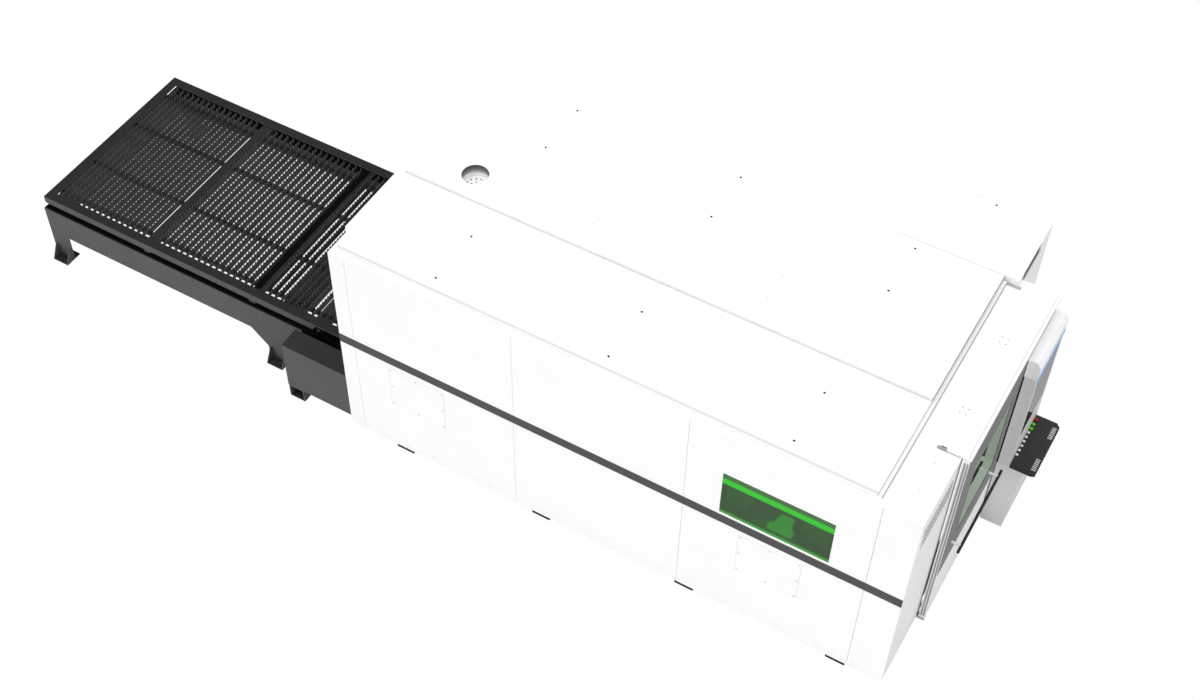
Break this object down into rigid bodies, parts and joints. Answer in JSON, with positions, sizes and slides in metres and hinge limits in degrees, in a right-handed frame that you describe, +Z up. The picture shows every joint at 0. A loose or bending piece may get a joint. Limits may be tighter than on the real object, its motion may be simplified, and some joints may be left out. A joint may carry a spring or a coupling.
{
  "type": "laser cutting machine",
  "caption": "Enclosed white sheet-metal laser cutting machine with a saw-tooth exchange table, side window, swing front door and operator console",
  "frame": {"origin": "on the floor under the middle of the whole footprint", "axes": "+X towards the operator's door, -X towards the exchange table, +Y towards the electrical cabinet, +Z up"},
  "size_m": [8.328, 2.923, 2.114],
  "materials": {
    "white_paint": "satin white powder coat",
    "grey_paint": "satin grey paint",
    "dark_paint": "satin dark grey paint",
    "frame_paint": "satin mid grey paint",
    "console_paint": "satin pale grey paint",
    "black_rubber": "matt black",
    "black_plastic": "matt black",
    "bright_steel": "ground steel",
    "slat_steel": "plain cut steel",
    "green_glass": "green laser glass",
    "door_tint": "pale green reflecting glass",
    "screen_glass": "dark gloss",
    "light_blue": "lit pale blue",
    "red_plastic": "gloss red",
    "green_plastic": "gloss green",
    "white_plastic": "gloss white"
  },
  "bodies": {
    "machine": {"machine_bed": "grey_paint", "levelling_feet": "black_rubber", "enclosure_frame": "grey_paint", "left_panel_rear": "white_paint", "left_panel_middle": "white_paint", "left_panel_front": "white_paint", "left_stripe": "dark_paint", "left_window": "green_glass", "window_frame": "white_paint", "access_cover_rear": "white_paint", "access_cover_front": "white_paint", "cover_screws": "bright_steel", "right_panel_rear": "white_paint", "right_panel_front": "white_paint", "rear_wall": "white_paint", "rear_hood": "white_paint", "front_wall": "white_paint", "front_fixed_panel": "white_paint", "roof_cap": "white_paint", "roof_left": "white_paint", "roof_right_rear": "white_paint", "roof_right_middle": "white_paint", "roof_right_front": "white_paint", "roof_plugs": "black_rubber", "fume_port": "white_paint", "wing_cabinet": "white_paint", "control_plate": "grey_paint", "door_header": "white_paint", "header_bolts": "bright_steel", "door_pivots": "bright_steel", "console_pedestal": "console_paint", "console_cabinet": "console_paint", "console_cap": "white_paint", "console_screen": "screen_glass", "console_light": "light_blue", "keyboard_tray": "black_plastic", "indicator_lamps": "white_plastic", "gantry_rails": "bright_steel", "base_frame": "dark_paint", "table_feet": "dark_paint", "pallet_rails": "bright_steel", "drive_box": "dark_paint"},
    "front_door": {"front_door": "white_paint", "door_window_frame": "frame_paint", "door_glass": "door_tint", "handle_posts": "white_paint", "handle_bar": "black_plastic"},
    "wing_door": {"wing_door": "white_paint"},
    "gantry": {"gantry": "white_paint"},
    "head_carriage": {"head_carriage": "bright_steel"},
    "cutting_head": {"cutting_head": "black_plastic"},
    "pallet": {"pallet_frame": "dark_paint", "pallet_slats": "slat_steel"},
    "wheel_front_left": {"wheel_front_left": "bright_steel"},
    "wheel_front_right": {"wheel_front_right": "bright_steel"},
    "wheel_rear_left": {"wheel_rear_left": "bright_steel"},
    "wheel_rear_right": {"wheel_rear_right": "bright_steel"},
    "estop_button": {"estop_button": "red_plastic"},
    "start_button": {"start_button": "green_plastic"},
    "pause_button": {"pause_button": "green_plastic"}
  },
  "joints": [
    {"name": "front_door_hinge", "type": "hinge", "parent": "machine", "child": "front_door", "pos_m": [3.845, -0.8055, 1], "axis": [0, 0, 1], "range_deg": [-105, 0]},
    {"name": "wing_door_hinge", "type": "hinge", "parent": "machine", "child": "wing_door", "pos_m": [3.561, 1.4585, 1], "axis": [0, 0, 1], "range_deg": [-110, 0]},
    {"name": "gantry_slide", "type": "slide", "parent": "machine", "child": "gantry", "axis": [1, 0, 0], "range_m": [-2.9, 0.25]},
    {"name": "carriage_slide", "type": "slide", "parent": "gantry", "child": "head_carriage", "axis": [0, 1, 0], "range_m": [-0.74, 0.74]},
    {"name": "head_slide", "type": "slide", "parent": "head_carriage", "child": "cutting_head", "axis": [0, 0, 1], "range_m": [-0.14, 0.08]},
    {"name": "pallet_slide", "type": "slide", "parent": "machine", "child": "pallet", "axis": [1, 0, 0], "range_m": [0, 3.7]},
    {"name": "wheel_front_left_turn", "type": "hinge", "parent": "pallet", "child": "wheel_front_left", "pos_m": [-1.334, -1.1325, 0.59], "axis": [0, 1, 0], "range_deg": [0, 4720]},
    {"name": "wheel_front_right_turn", "type": "hinge", "parent": "pallet", "child": "wheel_front_right", "pos_m": [-1.334, 0.5455, 0.59], "axis": [0, 1, 0], "range_deg": [0, 4720]},
    {"name": "wheel_rear_left_turn", "type": "hinge", "parent": "pallet", "child": "wheel_rear_left", "pos_m": [-3.744, -1.1325, 0.59], "axis": [0, 1, 0], "range_deg": [0, 4720]},
    {"name": "wheel_rear_right_turn", "type": "hinge", "parent": "pallet", "child": "wheel_rear_right", "pos_m": [-3.744, 0.5455, 0.59], "axis": [0, 1, 0], "range_deg": [0, 4720]},
    {"name": "estop_button_press", "type": "slide", "parent": "machine", "child": "estop_button", "axis": [0, 0, -1], "range_m": [0, 0.005], "stiffness_N_per_m": 400},
    {"name": "start_button_press", "type": "slide", "parent": "machine", "child": "start_button", "axis": [0, 0, -1], "range_m": [0, 0.005], "stiffness_N_per_m": 400},
    {"name": "pause_button_press", "type": "slide", "parent": "machine", "child": "pause_button", "axis": [0, 0, -1], "range_m": [0, 0.005], "stiffness_N_per_m": 400}
  ],
  "couplings": [
    {"joint": "wheel_front_left_turn", "follows": "pallet_slide", "rad_per_m": 22.222},
    {"joint": "wheel_front_right_turn", "follows": "pallet_slide", "rad_per_m": 22.222},
    {"joint": "wheel_rear_left_turn", "follows": "pallet_slide", "rad_per_m": 22.222},
    {"joint": "wheel_rear_right_turn", "follows": "pallet_slide", "rad_per_m": 22.222}
  ]
}
